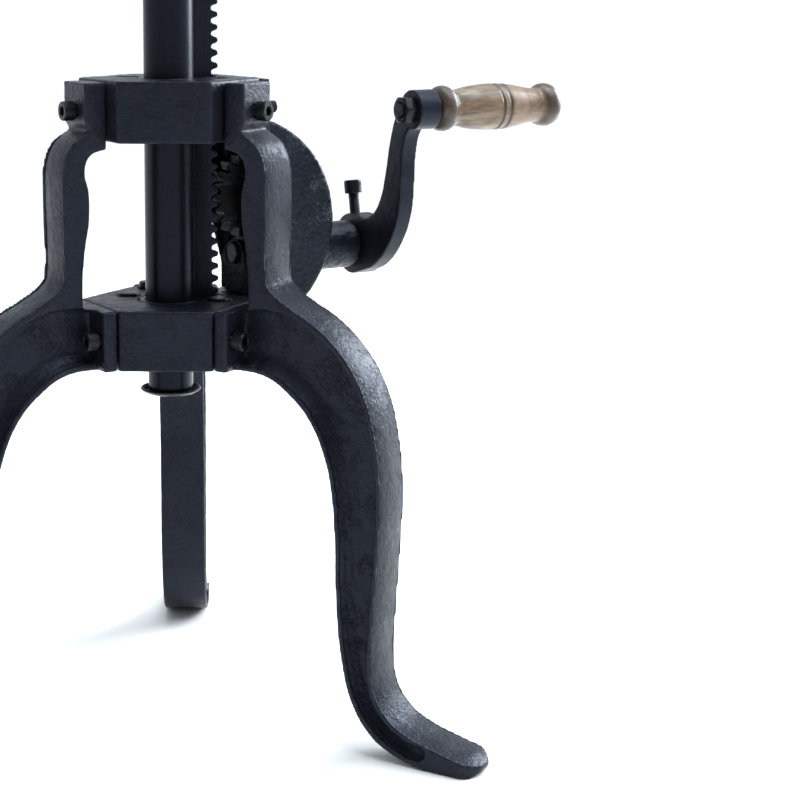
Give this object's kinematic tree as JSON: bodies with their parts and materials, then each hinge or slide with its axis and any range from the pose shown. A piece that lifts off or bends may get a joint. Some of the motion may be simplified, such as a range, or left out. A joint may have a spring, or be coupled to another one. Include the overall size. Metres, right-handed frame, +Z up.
{
  "type": "crank-raised pedestal base",
  "caption": "Cast iron table base: splayed legs on hexagonal collars, a round post raised by rack, gear and worm, and a side crank with a turned wooden handle.",
  "frame": {"origin": "middle of the footprint's bounding box, on the floor under the feet", "axes": "+Z up along the post; the crank shaft points 30 degrees from +X towards +Y; the back leg points along +Y"},
  "size_m": [0.487, 0.3743, 0.6963],
  "materials": {
    "cast_black": "satin blue-black paint over rough sand casting",
    "steel_black": "black steel, satin",
    "greased_steel": "dark machined steel under grease",
    "bronze": "dull bearing bronze",
    "burnt_wood": "turned wood with burnt rings, worn varnish"
  },
  "bodies": {
    "base": {"upper_collar": "cast_black", "lower_collar": "cast_black", "leg_front_right": "cast_black", "leg_back": "cast_black", "leg_front_left": "cast_black", "gear_housing": "cast_black", "worm_bearing": "cast_black", "leg_front_right_bolt_lower_a": "steel_black", "leg_front_right_bolt_lower_b": "steel_black", "leg_front_right_bolt_upper": "steel_black", "leg_back_bolt_lower_a": "steel_black", "leg_back_bolt_lower_b": "steel_black", "leg_back_bolt_upper": "steel_black", "leg_front_left_bolt_lower_a": "steel_black", "leg_front_left_bolt_lower_b": "steel_black", "leg_front_left_bolt_upper": "steel_black", "plug_right": "steel_black", "plug_left": "steel_black", "plug_back": "steel_black", "housing_bolt_lower_a": "steel_black", "housing_bolt_lower_b": "steel_black", "housing_bolt_upper_a": "steel_black", "housing_bolt_upper_b": "steel_black", "gear_axle": "steel_black", "gear_axle_nut": "steel_black", "upper_bush": "bronze", "lower_bush": "bronze", "sleeve_bush_inner": "bronze", "sleeve_bush_outer": "bronze"},
    "column": {"post_tube": "steel_black", "post_rack": "steel_black", "rack_screw_1": "steel_black", "rack_screw_2": "steel_black", "rack_screw_3": "steel_black", "rack_screw_4": "steel_black", "plate_screw_1": "steel_black", "plate_screw_2": "steel_black", "plate_screw_3": "steel_black", "plate_screw_4": "steel_black", "foot_plug": "steel_black", "stop_washer": "steel_black", "stop_screw": "steel_black", "top_hub": "cast_black", "hub_set_screw": "steel_black", "top_plate": "cast_black"},
    "gear": {"lift_gear": "greased_steel"},
    "crank": {"crank_shaft": "steel_black", "worm": "greased_steel", "worm_pin": "steel_black", "thrust_collar": "steel_black", "crank_arm": "cast_black", "crank_set_screw": "steel_black", "handle_bolt": "steel_black", "handle_nut": "steel_black", "handle_washer": "steel_black"},
    "grip": {"handle_grip": "burnt_wood"}
  },
  "joints": [
    {"name": "crank_turn", "type": "hinge", "parent": "base", "child": "crank", "pos_m": [-0.0305, -0.05536, 0.32], "axis": [0.866, 0.5, 0], "range_deg": [-8330, 750]},
    {"name": "column_slide", "type": "slide", "parent": "base", "child": "column", "axis": [0, 0, 1], "range_m": [-0.2, 0.0181]},
    {"name": "gear_turn", "type": "hinge", "parent": "base", "child": "gear", "pos_m": [0.02193, -0.02508, 0.36], "axis": [0.5, -0.866, 0], "range_deg": [-40, 420]},
    {"name": "grip_spin", "type": "hinge", "parent": "crank", "child": "grip", "pos_m": [0.15022, -0.03878, 0.421], "axis": [0.866, 0.5, 0], "continuous": true}
  ],
  "couplings": [
    {"joint": "column_slide", "follows": "crank_turn", "m_per_rad": 0.001375},
    {"joint": "gear_turn", "follows": "crank_turn", "ratio": -0.05}
  ]
}
